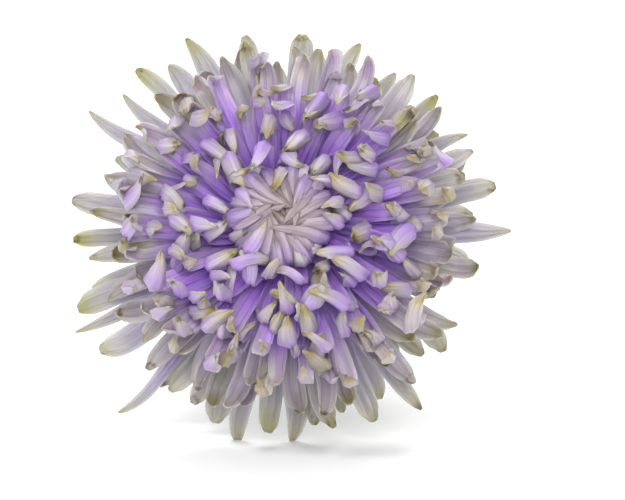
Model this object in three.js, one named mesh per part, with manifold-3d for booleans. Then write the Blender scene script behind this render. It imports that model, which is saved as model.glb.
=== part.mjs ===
// A cut disbud chrysanthemum laid down on a table, in millimetres with +Z up.
// The bloom faces -Y and a little upwards. It rests on the tips of its lowest florets, on two leaves
// and on the cut end of its stem, which runs back along +Y. The origin is under the middle of the box.

import * as THREE from "three";
import { mergeVertices } from "three/addons/utils/BufferGeometryUtils.js";
import Module from "manifold-3d";

const wasm = await Module();
wasm.setup();

// Driving dimensions. The head has its own axes: U to the right and V up as seen from the front,
// and W out of the face. Its zero level is just under the widest florets.
const AXIS_RISE = 16; // degrees by which the bloom's axis points up from level
const HEAD_HEIGHT = 62.2; // head's zero level over the table, which presses the lowest tips by 1.5
const DOME_RADIUS = 66;
const DOME_HEIGHT = 50;
const DOME_LEVEL = -2;
const CORE = { radius: 16, halfHeight: 20, level: 14 };
const ROOTS = { radius: 10, halfHeight: 16, level: 12 }; // florets start here, sunk in the core
const GOLDEN_ANGLE = 137.508;

const KEEL_DEPTH = 1.1; // thickness of a floret along its midline
const BODY_STEPS = 8; // stations along a floret, up to its bend
const TIP_STEPS = 20; // and on to its tip

const CUP = { foot: 12, footRadius: 4.2, rimLevel: 2, rimRadius: 13 };
const SEAM = 0.3; // gap between pieces that touch

const STEM = { radius: 3.1, pressed: 0.3, back: 200, aside: -6, neck: 62, tail: 55, sides: 12, steps: 22 };

const UP = new THREE.Vector3(0, 0, 1);
const rad = THREE.MathUtils.degToRad;
const mix = THREE.MathUtils.lerp;
const smooth = (x) => THREE.MathUtils.smoothstep(x, 0, 1);
const range = (count) => Array.from({ length: count }, (_, i) => i);

// A repeatable value from -1 to 1 for one quality of one floret.
function scatter(index, quality) {
  const wave = Math.sin(index * 12.9898 + quality * 78.233) * 43758.5453;
  return 2 * (wave - Math.floor(wave)) - 1;
}

// Height over the head's zero level of the dome that the floret tips follow.
function domeLevel(radius) {
  return DOME_LEVEL + DOME_HEIGHT * Math.sqrt(Math.max(0, 1 - (radius / DOME_RADIUS) ** 2));
}

// Solids

function solidFrom(geometry) {
  const bare = geometry.clone();
  bare.deleteAttribute("normal");
  bare.deleteAttribute("uv");
  const merged = mergeVertices(bare, 1e-4);
  const triVerts = new Uint32Array(merged.index.array);
  return new wasm.Manifold(
    new wasm.Mesh({ numProp: 3, vertProperties: merged.attributes.position.array, triVerts }),
  );
}

function geometryFrom(solid) {
  const mesh = solid.getMesh();
  const geometry = new THREE.BufferGeometry();
  geometry.setAttribute("position", new THREE.BufferAttribute(mesh.vertProperties, 3));
  geometry.setIndex(new THREE.BufferAttribute(mesh.triVerts, 1));
  geometry.computeVertexNormals();
  return geometry;
}

// The largest body of a solid: what a cut leaves loose beside it is dropped.
function mainBody(solid) {
  const bodies = solid.decompose();
  bodies.sort((a, b) => b.volume() - a.volume());
  return bodies[0];
}

// A closed loft through rings of points. Each ring runs the same way round, seen from its end.
function loft(rings) {
  const count = rings[0].length;
  const positions = rings.flat().flatMap((p) => [p.x, p.y, p.z]);
  const index = [];
  for (let row = 0; row + 1 < rings.length; row++) {
    for (let i = 0; i < count; i++) {
      const next = (i + 1) % count;
      const [a, b] = [row * count + i, row * count + next];
      const [c, d] = [a + count, b + count];
      index.push(a, b, d, a, d, c);
    }
  }
  const last = (rings.length - 1) * count;
  for (let i = 1; i + 1 < count; i++) {
    index.push(0, i + 1, i, last, last + i, last + i + 1);
  }
  const geometry = new THREE.BufferGeometry();
  geometry.setAttribute("position", new THREE.Float32BufferAttribute(positions, 3));
  geometry.setIndex(index);
  return geometry;
}

// Florets: each is a strap that leaves the core, runs to a bend on the dome and curls over its tip.

function rootPoint(polar, azimuth) {
  const radius = ROOTS.radius * Math.sin(polar);
  const level = ROOTS.level + ROOTS.halfHeight * Math.cos(polar);
  return new THREE.Vector3(radius * Math.cos(azimuth), radius * Math.sin(azimuth), level);
}

// Points along the middle of a floret, each with the directions of its width and of its face.
function spineOf(floret) {
  const azimuth = rad(floret.azimuth);
  const root = rootPoint(rad(floret.rootPolar), azimuth);
  const run = floret.bendRadius - Math.hypot(root.x, root.y);
  const rise = floret.bendLevel - root.z;
  const body = Math.hypot(run, rise);
  const slope = Math.atan2(rise, run);
  const length = body + floret.tipLength;
  const share = body / length;
  const pose = (s) => {
    const along = Math.min(1, s / share);
    const over = Math.max(0, (s - share) / (1 - share));
    const curled = smooth(Math.min(1, over / floret.curlShare));
    const rising = slope + rad(floret.bow) * (1 - 2 * along) + rad(floret.curl) * curled;
    const sway = floret.sway * Math.sin(Math.PI * along);
    const heading = azimuth + rad(mix(floret.lean, floret.sweep, over) * smooth(along) + sway);
    const forward = new THREE.Vector3(
      Math.cos(rising) * Math.cos(heading),
      Math.cos(rising) * Math.sin(heading),
      Math.sin(rising),
    );
    const side = new THREE.Vector3(-Math.sin(heading), Math.cos(heading), 0);
    side.applyAxisAngle(forward, rad(floret.twist) * smooth(s));
    return { forward, side, face: new THREE.Vector3().crossVectors(forward, side) };
  };
  const places = [
    ...range(BODY_STEPS).map((step) => (share * step) / BODY_STEPS),
    ...range(TIP_STEPS + 1).map((step) => mix(share, 1, step / TIP_STEPS)),
  ];
  const at = root.clone();
  return places.map((s, step) => {
    const station = { at: at.clone(), s, ...pose(s) };
    const following = places[step + 1] ?? 1;
    at.addScaledVector(pose((s + following) / 2).forward, (following - s) * length);
    return station;
  });
}

// Share of the full width at s along a floret: a narrow claw, a strap and a blunt or sharp tip.
function widthShare(s, blunt) {
  const claw = mix(0.34, 1, smooth(s / 0.6));
  const start = mix(0.6, 0.84, blunt);
  const over = Math.max(0, (s - start) / (1 - start));
  const tip = Math.max(0, 1 - over ** mix(1.7, 2.8, blunt)) ** mix(0.8, 0.5, blunt);
  return claw * mix(mix(0.08, 0.4, blunt), 1, tip);
}

// A floret as a three-sided blade through some of its stations: a flat face with a keel behind.
function floretBlade(floret) {
  const spine = spineOf(floret);
  const rings = floret.cuts.map((step) => {
    const { at, side, face, s } = spine[step];
    const half = floret.halfWidth * widthShare(s, floret.blunt);
    return [
      at.clone().addScaledVector(side, -half),
      at.clone().addScaledVector(face, -KEEL_DEPTH),
      at.clone().addScaledVector(side, half),
    ];
  });
  return loft(rings);
}

// The centre: florets that rise to a shoulder and lie over the top in one turning swirl.
const SWIRL = 60;
function swirlFloret(i) {
  const q = (i + 0.5) / SWIRL;
  const shoulder = mix(2, 15.5, q ** 0.6);
  return {
    azimuth: i * GOLDEN_ANGLE,
    rootPolar: mix(6, 32, q),
    bendRadius: shoulder,
    bendLevel: mix(41.5, 39.5, q) + 0.6 * scatter(i, 1),
    tipLength: shoulder * mix(1.4, 1.32, q) + 4 + 2.5 * scatter(i, 2),
    curl: mix(98, 128, q) + 7 * scatter(i, 3),
    curlShare: 0.5,
    bow: 4,
    lean: -32,
    sweep: mix(4, 26, q) + 12 * scatter(i, 4),
    sway: 0,
    twist: 12 + 14 * scatter(i, 5),
    halfWidth: mix(1.3, 2.2, q),
    blunt: 0.2,
    cuts: [0, 8, 12, 18, 28],
  };
}

// The middle: straps that lean out and hook their tips back over the face.
const HOOKED = 96;
function hookedFloret(i) {
  const q = (i + 0.5) / HOOKED;
  const radius = mix(14, 48, q);
  return {
    azimuth: (i + SWIRL) * GOLDEN_ANGLE + 6 * scatter(i, 11),
    rootPolar: mix(34, 82, q),
    bendRadius: radius + 1.5 * scatter(i, 12),
    bendLevel: domeLevel(radius) - 4 + 3.5 * scatter(i, 13),
    tipLength: mix(13, 19, q ** 0.5) + 4 * scatter(i, 14),
    curl: mix(128, 108, q) + 40 * scatter(i, 15),
    curlShare: 0.6 + 0.2 * scatter(i, 45),
    bow: mix(10, 16, q),
    lean: mix(-30, 0, q ** 0.5),
    sweep: 105 * scatter(i, 16),
    sway: 7 * scatter(i, 41),
    twist: 50 * scatter(i, 17),
    halfWidth: mix(2.1, 3.3, q ** 0.5) + 0.4 * scatter(i, 18),
    blunt: 0.4 + 0.4 * scatter(i, 19),
    cuts: [0, 8, 14, 19, 28],
  };
}

// The outside: longer straps that lie out level and lift or curl their tips a little.
const SPREAD = 52;
function spreadFloret(i) {
  const q = (i + 0.5) / SPREAD;
  const reach = mix(51, 58, q);
  return {
    azimuth: (i + SWIRL + HOOKED) * GOLDEN_ANGLE + 4 * scatter(i, 21),
    rootPolar: mix(80, 98, q),
    bendRadius: reach - 9 + 2 * scatter(i, 22),
    bendLevel: mix(24, 5, q) + 2 * scatter(i, 23),
    tipLength: 13 + 3 * scatter(i, 24),
    curl: mix(80, 30, q) + 50 * scatter(i, 25),
    curlShare: 0.9,
    bow: mix(14, 9, q),
    lean: 0,
    sweep: 34 * scatter(i, 26),
    sway: 5 * scatter(i, 42),
    twist: 26 * scatter(i, 27),
    halfWidth: 3.5 + 0.5 * scatter(i, 28),
    blunt: 0.7 + 0.3 * scatter(i, 29),
    cuts: [0, 7, 15, 22, 28],
  };
}

// The rim: the outermost florets, whose tips make the bloom's outline, chosen one by one.
// Azimuth in degrees from the right, reach and half width in mm, bluntness of the tip from 0 to 1,
// and the turn of the tip to the left, in degrees.
const RIM = [
  [118.5, 73, 4.0, 0.2, 8],
  [104, 66, 3.2, 0.9, 2],
  [96, 58, 3.0, 0.8, 0],
  [88, 65, 3.9, 0.9, -4],
  [80, 54, 3.0, 0.8, 0],
  [72, 65, 3.2, 0.4, -14],
  [60, 63, 3.7, 0.3, -6],
  [46, 65, 2.7, 0.7, 0],
  [37, 57, 3.6, 0.9, 0],
  [32, 64, 2.8, 0.1, -20],
  [26, 60, 3.4, 0.9, 22],
  [16, 66, 3.6, 1.0, 0],
  [9, 58, 3.8, 0.7, -8],
  [2, 68, 4.2, 0.0, 6],
  [354, 58, 3.9, 0.7, -6],
  [340, 49, 3.4, 0.8, -10],
  [325, 60, 3.5, 0.9, -16],
  [319, 55, 3.2, 0.8, -6],
  [307.5, 67, 3.0, 0.4, -4],
  [295, 63, 3.7, 0.9, -4],
  [287, 57, 2.8, 0.9, 0],
  [278, 59, 3.2, 0.9, -4],
  [271, 64, 4.3, 0.2, -12],
  [264, 62, 3.7, 0.9, 0],
  [255, 67, 3.4, 0.5, 4],
  [248, 63, 4.2, 0.9, 4],
  [240, 61, 3.2, 0.8, 0],
  [233, 61, 3.2, 0.8, -10],
  [226, 77, 2.1, 0.3, -20],
  [211, 70, 4.3, 0.9, -4],
  [204, 74, 2.5, 0.1, 6],
  [199, 71, 4.0, 0.9, 8],
  [194, 65, 3.2, 0.7, 0],
  [186, 64, 3.0, 0.5, -4],
  [177, 67, 2.8, 0.1, -26],
  [171, 70, 4.0, 0.8, 8],
  [161, 66, 3.2, 0.2, -24],
  [156, 61, 3.4, 0.7, 10],
  [148, 78, 2.9, 0.2, -6],
  [140, 71, 2.9, 0.1, -16],
  [133, 75, 3.1, 0.7, 6],
  [126, 69, 4.0, 0.3, 4],
  [312, 51, 3.2, 0.8, -4],
  [300, 58, 3.4, 0.8, -4],
  [229, 62, 3.2, 0.7, -4],
  [180, 71, 3.0, 0.7, 0],
];
function rimFloret([azimuth, reach, halfWidth, blunt, turn], i) {
  const tipLength = 15;
  const bend = 6 * scatter(i, 35);
  return {
    azimuth: azimuth + 0.1 * turn + 0.28 * bend,
    rootPolar: 104 + 3 * scatter(i, 31),
    bendRadius: reach - tipLength * Math.cos(rad(turn) / 2),
    bendLevel: -2 + 4 * scatter(i, 32) + 3 * (i % 2),
    tipLength,
    curl: 8 + 24 * scatter(i, 33),
    curlShare: 1,
    bow: 8,
    lean: -0.5 * turn - bend,
    sweep: 1.3 * turn + 2 * bend,
    sway: 0,
    twist: 12 * scatter(i, 34),
    halfWidth,
    blunt,
    cuts: [0, 5, 9, 19, 28],
  };
}

// The whorls are thinned where they crowd: half of the swirl and a quarter of the hooked.
const FLORETS = [
  ...range(SWIRL).filter((i) => i % 2 === 0).map(swirlFloret),
  ...range(HOOKED).filter((i) => i % 4 !== 3).map(hookedFloret),
  ...range(SPREAD).map(spreadFloret),
  ...RIM.map(rimFloret),
];

// The core under the florets: an ellipsoid on the head's axis.
function coreSolid(grown) {
  const ball = new THREE.SphereGeometry(1, 20, 14);
  ball.rotateX(Math.PI / 2);
  const radius = CORE.radius + grown;
  ball.scale(radius, radius, CORE.halfHeight + grown);
  ball.translate(0, 0, CORE.level);
  return solidFrom(ball);
}

function rayFlorets() {
  const blades = FLORETS.map((floret) => solidFrom(floretBlade(floret)));
  const whole = wasm.Manifold.union([coreSolid(0), ...blades]);
  const rise = rad(AXIS_RISE);
  const resting = whole.trimByPlane([0, Math.cos(rise), Math.sin(rise)], -HEAD_HEIGHT);
  return geometryFrom(mainBody(resting));
}

// The involucre: a shallow green bowl under the florets with three rows of overlapping bracts.
// A row gives the radius and level of its bracts' bases and of their tips.
const BRACT_ROWS = [
  { count: 11, base: [6.2, -10.2], tip: [15.2, -4.6], halfWidth: 2.8 },
  { count: 12, base: [8.4, -8.2], tip: [17, -0.9], halfWidth: 2.9 },
  { count: 13, base: [10.4, -5.6], tip: [18, 2.6], halfWidth: 3 },
];
const BRACT_KEEL = 1;

// A bract lies along the bowl's side and turns its tip a little outwards.
function bractBlade(row, i) {
  const azimuth = ((i + 0.5 * (BRACT_ROWS.indexOf(row) % 2)) / row.count) * 2 * Math.PI;
  const out = new THREE.Vector3(Math.cos(azimuth), Math.sin(azimuth), 0);
  const side = new THREE.Vector3(-Math.sin(azimuth), Math.cos(azimuth), 0);
  const at = ([radius, level]) => out.clone().multiplyScalar(radius).setZ(level);
  const bulge = [mix(row.base[0], row.tip[0], 0.6), mix(row.base[1], row.tip[1], 0.35)];
  const line = new THREE.QuadraticBezierCurve3(at(row.base), at(bulge), at(row.tip));
  const rings = [0, 0.3, 0.6, 0.85, 1].map((s) => {
    const half = row.halfWidth * mix(0.12, 1, Math.sin(Math.PI * mix(0.3, 1, s)));
    const [middle, along] = [line.getPoint(s), line.getTangent(s)];
    const outward = new THREE.Vector3().crossVectors(side, along);
    return [
      middle.clone().addScaledVector(side, half),
      middle.clone().addScaledVector(side, -half),
      middle.clone().addScaledVector(outward, BRACT_KEEL),
    ];
  });
  return loft(rings);
}

function involucre() {
  const profile = [
    [0, -CUP.foot],
    [CUP.footRadius, -CUP.foot],
    [CUP.footRadius + 1.4, -CUP.foot + 1.2],
    [9.4, -8.4],
    [11.8, -4.4],
    [CUP.rimRadius, CUP.rimLevel],
    [0, CUP.rimLevel],
  ];
  const cup = new THREE.LatheGeometry(profile.map(([r, w]) => new THREE.Vector2(r, w)), 24);
  cup.rotateX(Math.PI / 2);
  const bracts = BRACT_ROWS.flatMap((row) => range(row.count).map((i) => solidFrom(bractBlade(row, i))));
  const whole = wasm.Manifold.union([solidFrom(cup), ...bracts]);
  return geometryFrom(mainBody(whole.subtract(coreSolid(SEAM))));
}

// Stem and leaves, in the flower's frame before it is moved to its origin.

const HEAD_AXIS = new THREE.Vector3(0, -Math.cos(rad(AXIS_RISE)), Math.sin(rad(AXIS_RISE)));
const HEAD_AT = new THREE.Vector3(0, 0, HEAD_HEIGHT);

function stemCurve() {
  const top = HEAD_AT.clone().addScaledVector(HEAD_AXIS, -(CUP.foot + SEAM));
  const foot = new THREE.Vector3(STEM.aside, top.y + STEM.back, STEM.radius - STEM.pressed);
  const neck = top.clone().addScaledVector(HEAD_AXIS, -STEM.neck);
  const tail = foot.clone().add(new THREE.Vector3(-1, -STEM.tail, 13));
  return new THREE.CubicBezierCurve3(top, neck, tail, foot);
}

// What a piece would have under the table is cut away, so that it rests on a small flat spot.
function aboveTable(geometry) {
  return geometryFrom(mainBody(solidFrom(geometry).trimByPlane([0, 0, 1], 0)));
}

function stem() {
  const section = new THREE.Shape();
  range(STEM.sides).forEach((i) => {
    const angle = (i / STEM.sides) * 2 * Math.PI;
    section[i ? "lineTo" : "moveTo"](STEM.radius * Math.cos(angle), STEM.radius * Math.sin(angle));
  });
  return aboveTable(new THREE.ExtrudeGeometry(section, { steps: STEM.steps, extrudePath: stemCurve() }));
}

// Leaves: the share of the stem's length where each leaves it, the side it leaves by, the way its
// blade faces, and how far its tip reaches from its base.
const LEAVES = [
  { name: "leaf_upper", at: 0.4, out: [0.35, 0, 1], facing: [0.5, -0.6, 1], reach: [17, -52, 27] },
  { name: "leaf_middle", at: 0.57, out: [-0.8, 0, 0.6], facing: [-0.6, -0.3, 1], reach: [-31, -50, 20] },
  { name: "leaf_right", at: 0.74, out: [1, 0, 0.3], facing: [0.2, 0, 1], reach: [15, -60, null] },
  { name: "leaf_left", at: 0.88, out: [-1, 0, 0.3], facing: [-0.2, 0, 1], reach: [-23, -62, null] },
];
const LEAF = { rows: 30, halfWidth: 17, petiole: 0.2, petioleHalf: 1.2, thickness: 0.8, fold: 14 };
const LEAF_LEAN = 0.45; // how far the side veins lean towards the leaf's tip
const LEAF_NOTCHES = [0.3, 0.64]; // places of the deep cuts between the lobes, past the petiole

// Half width at a place along the rib, as a share: two pairs of toothed lobes and a lobed end.
function leafShare(t, row) {
  const u = (t - LEAF.petiole) / (1 - LEAF.petiole);
  if (u <= 0) return 0;
  const outline = Math.sin(Math.PI * Math.min(1, u ** 0.8)) ** 0.6;
  const cut = LEAF_NOTCHES.reduce((sum, place) => sum + Math.exp(-(((u - place) / 0.06) ** 2)), 0);
  const tooth = row % 2 ? 1 : 0.9;
  return outline * (1 - 0.56 * cut) * tooth;
}

// A leaf with a null height in its reach droops until its end rests on the table.
function leafGeometry(leaf) {
  const node = stemCurve().getPoint(leaf.at);
  const out = new THREE.Vector3(...leaf.out).normalize();
  const base = node.clone().addScaledVector(out, STEM.radius + SEAM + LEAF.petioleHalf);
  const [aside, ahead, rise] = leaf.reach;
  const tip = new THREE.Vector3(base.x + aside, base.y + ahead, rise === null ? 0.5 : base.z + rise);
  const bulge = base.clone().lerp(tip, 0.5).addScaledVector(out, 5).addScaledVector(UP, 7);
  const rib = new THREE.QuadraticBezierCurve3(base, bulge, tip);
  const facing = new THREE.Vector3(...leaf.facing);
  const rings = range(LEAF.rows + 1).map((row) => {
    const t = row / LEAF.rows;
    const at = rib.getPoint(t);
    const along = rib.getTangent(t);
    const side = new THREE.Vector3().crossVectors(along, facing).normalize();
    const face = new THREE.Vector3().crossVectors(side, along).normalize();
    const half = Math.max(LEAF.petioleHalf * mix(1, 0.6, t), LEAF.halfWidth * leafShare(t, row));
    const lift = half * Math.sin(rad(LEAF.fold));
    const corner = (way) =>
      at.clone().addScaledVector(side, way * half).addScaledVector(along, LEAF_LEAN * half)
        .addScaledVector(face, lift);
    const [left, right] = [corner(-1), corner(1)];
    const under = (p) => p.clone().addScaledVector(face, -LEAF.thickness);
    return [left, at.clone(), right, under(right), under(at), under(left)];
  });
  return aboveTable(loft(rings));
}

// Assembly

const petal = new THREE.MeshStandardMaterial({ color: "#b7a3dc", roughness: 0.6, metalness: 0 });
const bract = new THREE.MeshStandardMaterial({ color: "#7f9a5a", roughness: 0.7, metalness: 0 });
const stalk = new THREE.MeshStandardMaterial({ color: "#6f8f45", roughness: 0.6, metalness: 0 });
const foliage = new THREE.MeshStandardMaterial({ color: "#3f6b35", roughness: 0.65, metalness: 0 });

function piece(name, geometry, material) {
  const mesh = new THREE.Mesh(geometry, material);
  mesh.name = name;
  return mesh;
}

const head = new THREE.Group();
head.rotation.x = Math.PI / 2 - rad(AXIS_RISE);
head.position.copy(HEAD_AT);
head.add(piece("ray_florets", rayFlorets(), petal));
head.add(piece("involucre", involucre(), bract));

const flower = new THREE.Group();
flower.add(head);
flower.add(piece("stem", stem(), stalk));
LEAVES.forEach((leaf) => flower.add(piece(leaf.name, leafGeometry(leaf), foliage)));

const box = new THREE.Box3().setFromObject(flower, true);
const middle = box.getCenter(new THREE.Vector3());
flower.position.set(-middle.x, -middle.y, -box.min.z);

const root = new THREE.Group();
root.add(flower);
export default root;
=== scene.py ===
# A cut disbud chrysanthemum with a lilac bloom, lying on a pale table.
import math

import bmesh
import bpy
import numpy as np
from mathutils import Matrix, Vector


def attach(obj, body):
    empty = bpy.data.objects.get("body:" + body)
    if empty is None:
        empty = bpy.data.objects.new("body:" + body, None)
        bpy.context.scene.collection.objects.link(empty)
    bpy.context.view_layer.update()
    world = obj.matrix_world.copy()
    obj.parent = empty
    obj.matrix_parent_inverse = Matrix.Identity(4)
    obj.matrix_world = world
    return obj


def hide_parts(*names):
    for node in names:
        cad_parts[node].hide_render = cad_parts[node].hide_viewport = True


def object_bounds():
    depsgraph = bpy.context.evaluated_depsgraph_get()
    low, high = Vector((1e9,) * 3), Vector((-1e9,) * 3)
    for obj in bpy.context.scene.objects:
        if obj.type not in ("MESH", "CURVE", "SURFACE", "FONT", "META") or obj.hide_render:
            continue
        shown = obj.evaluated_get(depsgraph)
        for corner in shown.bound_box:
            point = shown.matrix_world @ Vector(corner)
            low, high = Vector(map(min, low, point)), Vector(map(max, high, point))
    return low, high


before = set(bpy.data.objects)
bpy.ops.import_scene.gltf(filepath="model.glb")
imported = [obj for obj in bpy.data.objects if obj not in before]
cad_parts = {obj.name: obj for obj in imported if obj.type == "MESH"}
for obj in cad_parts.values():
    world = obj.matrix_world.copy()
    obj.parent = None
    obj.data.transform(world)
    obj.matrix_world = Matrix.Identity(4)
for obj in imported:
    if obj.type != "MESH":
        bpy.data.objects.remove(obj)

CAD_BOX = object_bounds()

# Sizes are in millimetres and angles in degrees. The head has its own axes: to the right and upwards
# as seen from the front, and outwards from its face. Its zero level is just under the widest florets.
MM = 0.001
AXIS_RISE = 16  # how far the bloom faces upwards
GOLDEN_ANGLE = 137.508  # from a floret to the next of its whorl

# The dome that the florets' bends follow.
DOME_RADIUS = 66
DOME_HEIGHT = 50
DOME_LEVEL = -2

# The core under the florets, and the smaller shape inside it where they start.
CORE_RADIUS = 16
CORE_HALF_HEIGHT = 20
CORE_LEVEL = 14
ROOTS_RADIUS = 10
ROOTS_HALF_HEIGHT = 16
ROOTS_LEVEL = 12

# The green bowl under the florets, as radii and levels from its foot to its mouth.
CUP_FOOT = 12
CUP_FLAT = 0.01  # points within this of its lowest level lie on its flat foot
CUP_PROFILE = [(0, -12), (4.2, -12), (5.6, -10.8), (9.4, -8.4), (11.8, -4.4), (13, 2), (0, 2)]
SEAM = 0.3  # left free between the bowl, the stem and the leaves

# The stem runs from the bowl's foot to a cut end on the table.
STEM_RADIUS = 3.1
STEM_PRESSED = 0.3  # how far its cut end is flattened by the table
STEM_BACK = 200
STEM_ASIDE = -6
STEM_NECK = 62  # how strongly it keeps the bowl's direction at its top
STEM_TAIL = 55  # how strongly it levels out at its foot
STEM_TAIL_RISE = 13

RISE = math.radians(AXIS_RISE)
RIGHT = Vector((1, 0, 0))
UPWARD = Vector((0, math.sin(RISE), math.cos(RISE)))
OUTWARD = Vector((0, -math.cos(RISE), math.sin(RISE)))
UP = Vector((0, 0, 1))


def head_place():
    """The middle of the head's zero level, found from the flat foot of the bowl under the florets."""
    points = np.array([v.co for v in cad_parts["involucre"].data.vertices]) / MM
    levels = points @ np.array(OUTWARD)
    foot = points[levels < levels.min() + CUP_FLAT]
    return Vector((foot.min(0) + foot.max(0)) / 2) + OUTWARD * CUP_FOOT


HEAD = head_place()


def in_head(vector):
    """A direction in the head's axes, turned into the flower's."""
    return RIGHT * vector.x + UPWARD * vector.y + OUTWARD * vector.z


def mix(a, b, t):
    """A value a share t of the way from a to b."""
    return a + (b - a) * t


def smooth(t):
    """An even start and end for a share from 0 to 1."""
    t = min(1, max(0, t))
    return t * t * (3 - 2 * t)


def scatter(index, quality):
    """A repeatable value from -1 to 1 for one quality of one floret."""
    wave = math.sin(index * 12.9898 + quality * 78.233) * 43758.5453
    return 2 * (wave - math.floor(wave)) - 1


def dome_level(radius):
    """The dome's level at a distance from the head's axis."""
    return DOME_LEVEL + DOME_HEIGHT * math.sqrt(max(0, 1 - (radius / DOME_RADIUS) ** 2))


def add(tree, kind, links=(), **settings):
    """Adds a node with its settings and gives its inputs sockets or values.

    links names the inputs in a dict, or gives them in their order.
    """
    made = tree.nodes.new(kind)
    for name, value in settings.items():
        setattr(made, name, value)
    for key, value in links.items() if isinstance(links, dict) else enumerate(links):
        if isinstance(value, bpy.types.NodeSocket):
            tree.links.new(value, made.inputs[key])
        else:
            made.inputs[key].default_value = value
    return made


# Swept pieces: every floret, bract, leaf and stalk is a section carried along its own spine.

STATION_FIELDS = ("side", "face", "forward", "size", "shape", "tint")


def sweep_tree():
    """Joins a ring of points at every station of every spine into closed skins.

    A station holds where it is, the directions of its width, face and run, and three sizes: half
    width, skin thickness and how far the section is moved along the run. Its shape says how
    strongly each of the section's three lifts shows. The last station of a spine isn't joined to
    the first of the next.
    """
    tree = bpy.data.node_groups.new("swept_section", "GeometryNodeTree")
    face = tree.interface
    face.new_socket("Stations", in_out="INPUT", socket_type="NodeSocketGeometry")
    face.new_socket("Section", in_out="INPUT", socket_type="NodeSocketObject")
    face.new_socket("Stations per spine", in_out="INPUT", socket_type="NodeSocketInt")
    face.new_socket("Points per ring", in_out="INPUT", socket_type="NodeSocketInt")
    face.new_socket("Weld distance", in_out="INPUT", socket_type="NodeSocketFloat")
    face.new_socket("Material", in_out="INPUT", socket_type="NodeSocketMaterial")
    face.new_socket("Skins", in_out="OUTPUT", socket_type="NodeSocketGeometry")
    given = add(tree, "NodeGroupInput").outputs
    section = add(tree, "GeometryNodeObjectInfo", {"Object": given["Section"]}).outputs["Geometry"]
    rows = add(tree, "GeometryNodeAttributeDomainSize", (given["Stations"],)).outputs["Point Count"]
    ring = given["Points per ring"]
    closed_ring = add(tree, "ShaderNodeMath", (ring, 1), operation="ADD").outputs[0]
    grid = add(tree, "GeometryNodeMeshGrid", {"Vertices X": rows, "Vertices Y": closed_ring})
    index = add(tree, "GeometryNodeInputIndex").outputs[0]
    row_share = add(tree, "ShaderNodeMath", (index, closed_ring), operation="DIVIDE").outputs[0]
    row = add(tree, "ShaderNodeMath", (row_share,), operation="FLOOR").outputs[0]
    turn = add(tree, "ShaderNodeMath", (index, closed_ring), operation="MODULO").outputs[0]
    column = add(tree, "ShaderNodeMath", (turn, ring), operation="MODULO").outputs[0]

    def read(source, name, place):
        """A vector attribute's value, or a point's position, at one place of a source."""
        kind = "GeometryNodeInputPosition" if name == "position" else "GeometryNodeInputNamedAttribute"
        settings = {} if name == "position" else {"data_type": "FLOAT_VECTOR"}
        value = add(tree, kind, **settings)
        if settings:
            value.inputs["Name"].default_value = name
        links = {"Geometry": source, "Value": value.outputs[0], "Index": place}
        return add(tree, "GeometryNodeSampleIndex", links, data_type="FLOAT_VECTOR").outputs[0]

    station = {name: read(given["Stations"], name, row) for name in ("position", *STATION_FIELDS)}
    place = read(section, "place", column)
    lift = read(section, "lift", column)
    sized = add(tree, "ShaderNodeVectorMath", (station["size"], place), operation="MULTIPLY")
    across, skin, moved = add(tree, "ShaderNodeSeparateXYZ", (sized.outputs[0],)).outputs
    raised = add(tree, "ShaderNodeVectorMath", (station["shape"], lift), operation="DOT_PRODUCT")
    height = add(tree, "ShaderNodeMath", (raised.outputs["Value"], skin), operation="ADD").outputs[0]
    at = station["position"]
    for direction, amount in (("side", across), ("face", height), ("forward", moved)):
        step = add(
            tree, "ShaderNodeVectorMath", {0: station[direction], "Scale": amount}, operation="SCALE")
        at = add(tree, "ShaderNodeVectorMath", (at, step.outputs[0]), operation="ADD").outputs[0]
    shaped = add(tree, "GeometryNodeSetPosition", {"Geometry": grid.outputs["Mesh"], "Position": at})
    mesh = shaped.outputs[0]
    for name, value in (("tint", station["tint"]), ("place", place)):
        stored = add(
            tree, "GeometryNodeStoreNamedAttribute", {"Geometry": mesh, "Name": name, "Value": value},
            data_type="FLOAT_VECTOR", domain="POINT")
        mesh = stored.outputs[0]
    strip_share = add(tree, "ShaderNodeMath", (index, ring), operation="DIVIDE").outputs[0]
    strip = add(tree, "ShaderNodeMath", (strip_share,), operation="FLOOR").outputs[0]
    following = add(tree, "ShaderNodeMath", (strip, 1), operation="ADD").outputs[0]
    within = add(
        tree, "ShaderNodeMath", (following, given["Stations per spine"]), operation="MODULO")
    between = add(tree, "FunctionNodeCompare", (within.outputs[0], 0.5), operation="LESS_THAN")
    apart = add(
        tree, "GeometryNodeDeleteGeometry", {"Geometry": mesh, "Selection": between.outputs[0]},
        domain="FACE", mode="ONLY_FACE")
    welded = add(tree, "GeometryNodeMergeByDistance", {
        "Geometry": apart.outputs[0], "Distance": given["Weld distance"]})
    real = add(tree, "GeometryNodeRealizeInstances", {"Geometry": welded.outputs[0]})
    coated = add(
        tree, "GeometryNodeSetMaterial", {"Geometry": real.outputs[0], "Material": given["Material"]})
    add(tree, "NodeGroupOutput", (coated.outputs[0],))
    return tree


SWEEP = sweep_tree()


def point_cloud(name, points, fields):
    """A mesh of loose points in metres with a vector attribute for each field."""
    mesh = bpy.data.meshes.new(name)
    mesh.from_pydata([tuple(p) for p in points], [], [])
    for field, values in fields.items():
        layer = mesh.attributes.new(field, "FLOAT_VECTOR", "POINT")
        layer.data.foreach_set("vector", np.array(values, dtype=np.float32).ravel())
    made = bpy.data.objects.new(name, mesh)
    bpy.context.scene.collection.objects.link(made)
    return made


def section_object(name, rows):
    """A section from rows of (across, skin, moved along the run) and (three lifts)."""
    places = [row[0] for row in rows]
    lifts = [row[1] for row in rows]
    return point_cloud(name, places, {"place": places, "lift": lifts})


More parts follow.
